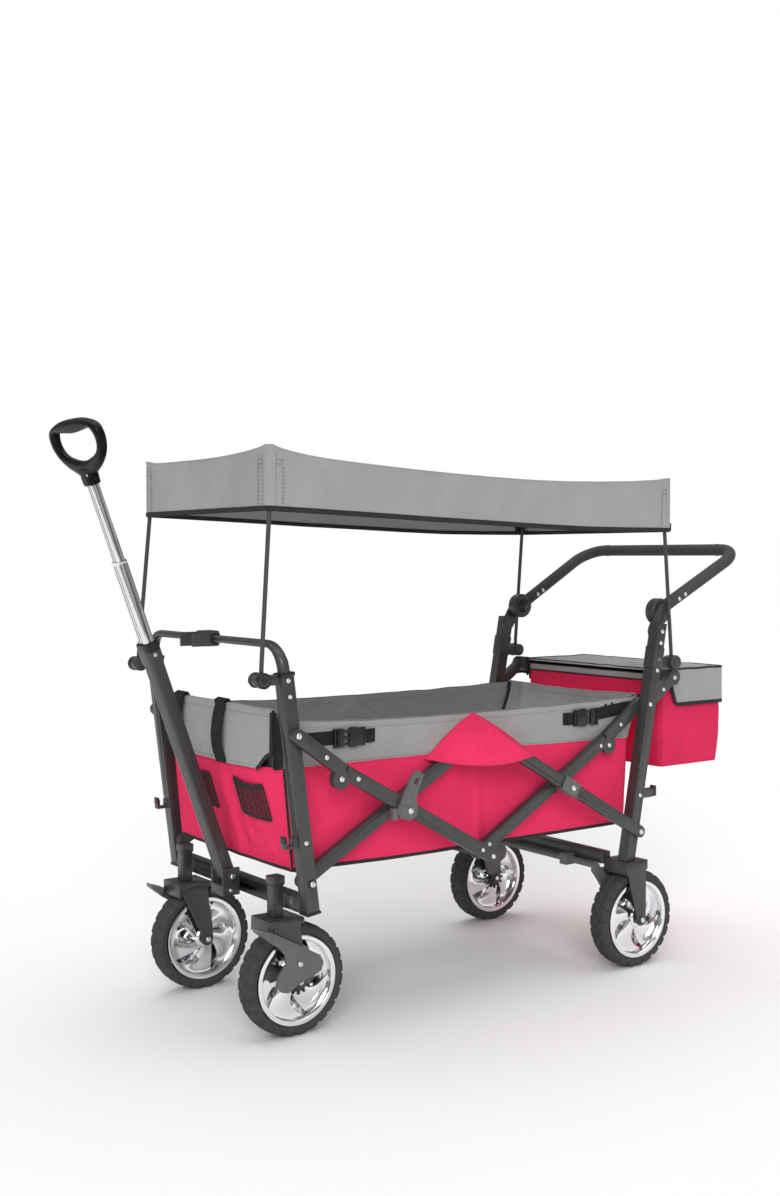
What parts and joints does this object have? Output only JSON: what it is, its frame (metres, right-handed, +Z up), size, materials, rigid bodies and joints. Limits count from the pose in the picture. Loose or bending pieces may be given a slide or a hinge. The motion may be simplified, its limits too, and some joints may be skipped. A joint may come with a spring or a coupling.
{
  "type": "folding kids' pull wagon",
  "caption": "Folding kids' pull wagon: fabric tub on a scissor frame, flat canopy on poles, telescopic pull handle, push bar, lidded rear basket, caster wheels.",
  "frame": {"origin": "on the ground under the middle of the bounding box", "axes": "+Z up; -X towards the front (pull handle), +X towards the push bar and basket; +Y the wagon's right side"},
  "size_m": [1.5022, 0.5592, 1.1047],
  "materials": {
    "fabric_main": "woven, matt",
    "fabric_grey": "woven, matt",
    "board_fabric": "woven over board, matt",
    "steel_coated": "powder coat, satin",
    "steel_chrome": "polished",
    "rubber_tyre": "matt",
    "plastic_black": "satin",
    "plastic_grey": "satin",
    "foam_grip": "matt foam cover"
  },
  "bodies": {
    "front_frame": {"front_post_l": "steel_coated", "front_post_r": "steel_coated", "front_bow": "steel_coated", "front_crossbar": "steel_coated", "handle_clip": "plastic_black", "handle_bracket": "steel_coated", "canopy_pole_front_l": "steel_coated", "canopy_pole_front_r": "steel_coated", "tub_front_panel": "fabric_grey", "tub_side_l": "fabric_main", "tub_side_r": "fabric_main", "canopy": "fabric_grey"},
    "arm_ct": {"arm_front_lower_l": "steel_coated", "arm_front_lower_r": "steel_coated"},
    "arm_kd": {"arm_front_upper_l": "steel_coated", "arm_front_upper_r": "steel_coated", "mid_cross_tube": "steel_coated"},
    "arm_tf": {"arm_rear_upper_l": "steel_coated", "arm_rear_upper_r": "steel_coated"},
    "arm_dg": {"arm_rear_lower_l": "steel_coated", "arm_rear_lower_r": "steel_coated"},
    "rear_frame": {"rear_post_l": "steel_coated", "rear_post_r": "steel_coated", "rear_crossbeam": "steel_coated", "rear_fork_l": "steel_coated", "rear_fork_r": "steel_coated", "canopy_pole_rear_l": "steel_coated", "canopy_pole_rear_r": "steel_coated", "tub_rear_panel": "fabric_grey", "basket": "fabric_main"},
    "link_f": {"link_front_l": "steel_coated", "link_front_r": "steel_coated"},
    "link_r": {"link_rear_l": "steel_coated", "link_rear_r": "steel_coated"},
    "floor_f": {"floor_front": "board_fabric"},
    "floor_b": {"floor_rear": "board_fabric"},
    "handle": {"handle_tube": "steel_coated"},
    "handle_mid": {"handle_mid_tube": "steel_chrome"},
    "handle_top": {"handle_top_tube": "steel_chrome", "grip": "plastic_black"},
    "caster_l": {"caster_fork_l": "steel_coated"},
    "caster_brake_l": {"caster_brake_l": "plastic_grey"},
    "wheel_front_l": {"tyre_front_l": "rubber_tyre", "rim_front_l": "steel_chrome"},
    "wheel_rear_l": {"tyre_rear_l": "rubber_tyre", "rim_rear_l": "steel_chrome"},
    "lock_l": {"fold_lock_lever_l": "plastic_grey"},
    "button_l": {"hub_button_l": "plastic_black"},
    "caster_r": {"caster_fork_r": "steel_coated"},
    "caster_brake_r": {"caster_brake_r": "plastic_grey"},
    "wheel_front_r": {"tyre_front_r": "rubber_tyre", "rim_front_r": "steel_chrome"},
    "wheel_rear_r": {"tyre_rear_r": "rubber_tyre", "rim_rear_r": "steel_chrome"},
    "lock_r": {"fold_lock_lever_r": "plastic_grey"},
    "button_r": {"hub_button_r": "plastic_black"},
    "rear_brake": {"rear_brake_bar": "plastic_grey"},
    "push": {"push_bar": "foam_grip"},
    "lid": {"basket_lid": "fabric_grey"}
  },
  "joints": [
    {"name": "fold", "type": "hinge", "parent": "front_frame", "child": "arm_ct", "pos_m": [-0.40684, 0, 0.288], "axis": [0, -1, 0], "range_deg": [0, 47], "deforming": ["tub_side_l", "tub_side_r", "canopy"]},
    {"name": "fold_arm_kd", "type": "hinge", "parent": "arm_ct", "child": "arm_kd", "pos_m": [-0.20684, 0, 0.4015], "axis": [0, -1, 0], "range_deg": [-94, 0]},
    {"name": "fold_arm_tf", "type": "hinge", "parent": "arm_ct", "child": "arm_tf", "pos_m": [-0.00684, 0, 0.515], "axis": [0, -1, 0], "range_deg": [-94, 0]},
    {"name": "fold_arm_dg", "type": "hinge", "parent": "arm_tf", "child": "arm_dg", "pos_m": [0.19316, 0, 0.4015], "axis": [0, -1, 0], "range_deg": [0, 94]},
    {"name": "fold_rear", "type": "hinge", "parent": "arm_tf", "child": "rear_frame", "pos_m": [0.39316, 0, 0.288], "axis": [0, -1, 0], "range_deg": [0, 47]},
    {"name": "fold_link_f", "type": "hinge", "parent": "arm_kd", "child": "link_f", "pos_m": [-0.35427, 0, 0.46792], "axis": [0, -1, 0], "range_deg": [0, 161.8]},
    {"name": "fold_link_r", "type": "hinge", "parent": "arm_dg", "child": "link_r", "pos_m": [0.34059, 0, 0.46792], "axis": [0, -1, 0], "range_deg": [-161.8, 0]},
    {"name": "fold_floor_f", "type": "hinge", "parent": "front_frame", "child": "floor_f", "pos_m": [-0.40184, 0, 0.304], "axis": [0, -1, 0], "range_deg": [0, 89.3]},
    {"name": "fold_floor_b", "type": "hinge", "parent": "rear_frame", "child": "floor_b", "pos_m": [0.38316, 0, 0.304], "axis": [0, -1, 0], "range_deg": [-89.3, 0]},
    {"name": "handle_swing", "type": "hinge", "parent": "front_frame", "child": "handle", "pos_m": [-0.43384, 0, 0.262], "axis": [0, -1, 0], "range_deg": [-8, 60]},
    {"name": "handle_mid_slide", "type": "slide", "parent": "handle", "child": "handle_mid", "axis": [0.342, 0, -0.9397], "range_m": [0, 0.15]},
    {"name": "handle_top_slide", "type": "slide", "parent": "handle_mid", "child": "handle_top", "axis": [0.342, 0, -0.9397], "range_m": [0, 0.14]},
    {"name": "caster_swivel_l", "type": "hinge", "parent": "front_frame", "child": "caster_l", "pos_m": [-0.42984, -0.171, 0.217], "axis": [0, 0, 1], "continuous": true},
    {"name": "wheel_front_l_spin", "type": "hinge", "parent": "caster_l", "child": "wheel_front_l", "pos_m": [-0.39684, -0.171, 0.1015], "axis": [0, 1, 0], "continuous": true},
    {"name": "caster_brake_l_press", "type": "hinge", "parent": "caster_l", "child": "caster_brake_l", "pos_m": [-0.40384, -0.208, 0.137], "axis": [0, -1, 0], "range_deg": [0, 9]},
    {"name": "wheel_rear_l_spin", "type": "hinge", "parent": "rear_frame", "child": "wheel_rear_l", "pos_m": [0.40416, -0.232, 0.1015], "axis": [0, 1, 0], "continuous": true},
    {"name": "fold_lock_l_turn", "type": "hinge", "parent": "arm_kd", "child": "lock_l", "pos_m": [-0.20684, -0.276, 0.4015], "axis": [0, -1, 0], "range_deg": [-60, 0]},
    {"name": "hub_button_l_press", "type": "slide", "parent": "push", "child": "button_l", "axis": [0, -1, 0], "range_m": [0, 0.0035], "stiffness_N_per_m": 600},
    {"name": "caster_swivel_r", "type": "hinge", "parent": "front_frame", "child": "caster_r", "pos_m": [-0.42984, 0.171, 0.217], "axis": [0, 0, 1], "continuous": true},
    {"name": "wheel_front_r_spin", "type": "hinge", "parent": "caster_r", "child": "wheel_front_r", "pos_m": [-0.39684, 0.171, 0.1015], "axis": [0, 1, 0], "continuous": true},
    {"name": "caster_brake_r_press", "type": "hinge", "parent": "caster_r", "child": "caster_brake_r", "pos_m": [-0.40384, 0.208, 0.137], "axis": [0, -1, 0], "range_deg": [0, 9]},
    {"name": "wheel_rear_r_spin", "type": "hinge", "parent": "rear_frame", "child": "wheel_rear_r", "pos_m": [0.40416, 0.232, 0.1015], "axis": [0, 1, 0], "continuous": true},
    {"name": "fold_lock_r_turn", "type": "hinge", "parent": "arm_kd", "child": "lock_r", "pos_m": [-0.20684, 0.276, 0.4015], "axis": [0, -1, 0], "range_deg": [-60, 0]},
    {"name": "hub_button_r_press", "type": "slide", "parent": "push", "child": "button_r", "axis": [0, 1, 0], "range_m": [0, 0.0035], "stiffness_N_per_m": 600},
    {"name": "rear_brake_turn", "type": "hinge", "parent": "rear_frame", "child": "rear_brake", "pos_m": [0.33816, 0, 0.212], "axis": [0, 1, 0], "range_deg": [0, 8]},
    {"name": "push_bar_turn", "type": "hinge", "parent": "rear_frame", "child": "push", "pos_m": [0.49316, 0, 0.741], "axis": [0, -1, 0], "range_deg": [-45, 28]},
    {"name": "lid_open", "type": "hinge", "parent": "rear_frame", "child": "lid", "pos_m": [0.51416, 0, 0.611], "axis": [0, -1, 0], "range_deg": [0, 55]}
  ],
  "couplings": [
    {"joint": "fold_arm_kd", "follows": "fold", "ratio": -2},
    {"joint": "fold_arm_tf", "follows": "fold", "ratio": -2},
    {"joint": "fold_arm_dg", "follows": "fold", "ratio": 2},
    {"joint": "fold_rear", "follows": "fold", "ratio": 1},
    {"joint": "fold_link_f", "follows": "fold", "ratio": 3.4426},
    {"joint": "fold_link_r", "follows": "fold", "ratio": -3.4426},
    {"joint": "fold_floor_f", "follows": "fold", "ratio": 1.9},
    {"joint": "fold_floor_b", "follows": "fold", "ratio": -1.9}
  ]
}
